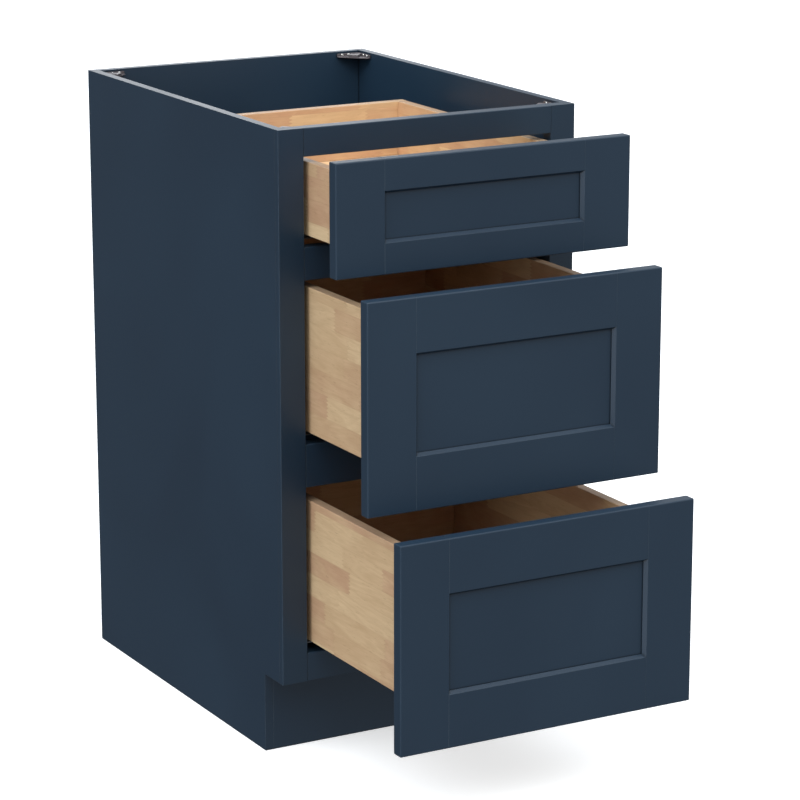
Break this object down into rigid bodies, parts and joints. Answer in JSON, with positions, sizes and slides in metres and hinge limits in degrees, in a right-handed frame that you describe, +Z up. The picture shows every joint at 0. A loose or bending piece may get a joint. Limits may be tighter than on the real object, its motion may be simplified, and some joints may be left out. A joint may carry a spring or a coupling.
{
  "type": "bathroom vanity cabinet",
  "caption": "Open-topped vanity base cabinet with a face frame, toe space and full-width drawers with recessed-panel fronts and dovetailed wooden boxes.",
  "frame": {"origin": "on the floor, under the middle of the whole object as it stands with its drawers part open; the face frame's front plane is at y = -0.14615 m", "axes": "+Z up, -Y the way the drawer fronts face, +Y to the wall, +X to the right of a person facing the cabinet"},
  "size_m": [0.4572, 0.927, 0.8763],
  "materials": {
    "navy_paint": "satin paint on hardwood and plywood",
    "box_wood": "clear satin lacquer on finger-jointed hardwood",
    "zinc_steel": "bright zinc plate",
    "grey_plastic": "moulded, matte"
  },
  "bodies": {
    "cabinet": {"side_panel_left": "navy_paint", "side_panel_right": "navy_paint", "back_panel": "navy_paint", "bottom_panel": "navy_paint", "toe_kick_board": "navy_paint", "face_stile_left": "navy_paint", "face_stile_right": "navy_paint", "face_rail_top": "navy_paint", "face_rail_upper": "navy_paint", "face_rail_lower": "navy_paint", "face_rail_bottom": "navy_paint", "corner_brace_front_left": "grey_plastic", "corner_brace_front_right": "grey_plastic", "corner_brace_back_left": "grey_plastic", "corner_brace_back_right": "grey_plastic", "slide_top_cabinet_member_left": "zinc_steel", "slide_top_cabinet_member_right": "zinc_steel", "slide_middle_cabinet_member_left": "zinc_steel", "slide_middle_cabinet_member_right": "zinc_steel", "slide_bottom_cabinet_member_left": "zinc_steel", "slide_bottom_cabinet_member_right": "zinc_steel"},
    "drawer_top": {"drawer_top_front_stile_left": "navy_paint", "drawer_top_front_stile_right": "navy_paint", "drawer_top_front_rail_top": "navy_paint", "drawer_top_front_rail_bottom": "navy_paint", "drawer_top_front_panel": "navy_paint", "drawer_top_box_side_left": "box_wood", "drawer_top_box_side_right": "box_wood", "drawer_top_box_front": "box_wood", "drawer_top_box_back": "box_wood", "drawer_top_box_bottom": "box_wood", "slide_top_drawer_member_left": "zinc_steel", "slide_top_drawer_member_right": "zinc_steel"},
    "drawer_middle": {"drawer_middle_front_stile_left": "navy_paint", "drawer_middle_front_stile_right": "navy_paint", "drawer_middle_front_rail_top": "navy_paint", "drawer_middle_front_rail_bottom": "navy_paint", "drawer_middle_front_panel": "navy_paint", "drawer_middle_box_side_left": "box_wood", "drawer_middle_box_side_right": "box_wood", "drawer_middle_box_front": "box_wood", "drawer_middle_box_back": "box_wood", "drawer_middle_box_bottom": "box_wood", "slide_middle_drawer_member_left": "zinc_steel", "slide_middle_drawer_member_right": "zinc_steel"},
    "drawer_bottom": {"drawer_bottom_front_stile_left": "navy_paint", "drawer_bottom_front_stile_right": "navy_paint", "drawer_bottom_front_rail_top": "navy_paint", "drawer_bottom_front_rail_bottom": "navy_paint", "drawer_bottom_front_panel": "navy_paint", "drawer_bottom_box_side_left": "box_wood", "drawer_bottom_box_side_right": "box_wood", "drawer_bottom_box_front": "box_wood", "drawer_bottom_box_back": "box_wood", "drawer_bottom_box_bottom": "box_wood", "slide_bottom_drawer_member_left": "zinc_steel", "slide_bottom_drawer_member_right": "zinc_steel"}
  },
  "joints": [
    {"name": "drawer_top_slide", "type": "slide", "parent": "cabinet", "child": "drawer_top", "axis": [0, -1, 0], "range_m": [-0.1284, 0.2696]},
    {"name": "drawer_middle_slide", "type": "slide", "parent": "cabinet", "child": "drawer_middle", "axis": [0, -1, 0], "range_m": [-0.2111, 0.1869]},
    {"name": "drawer_bottom_slide", "type": "slide", "parent": "cabinet", "child": "drawer_bottom", "axis": [0, -1, 0], "range_m": [-0.2968, 0.1012]}
  ]
}
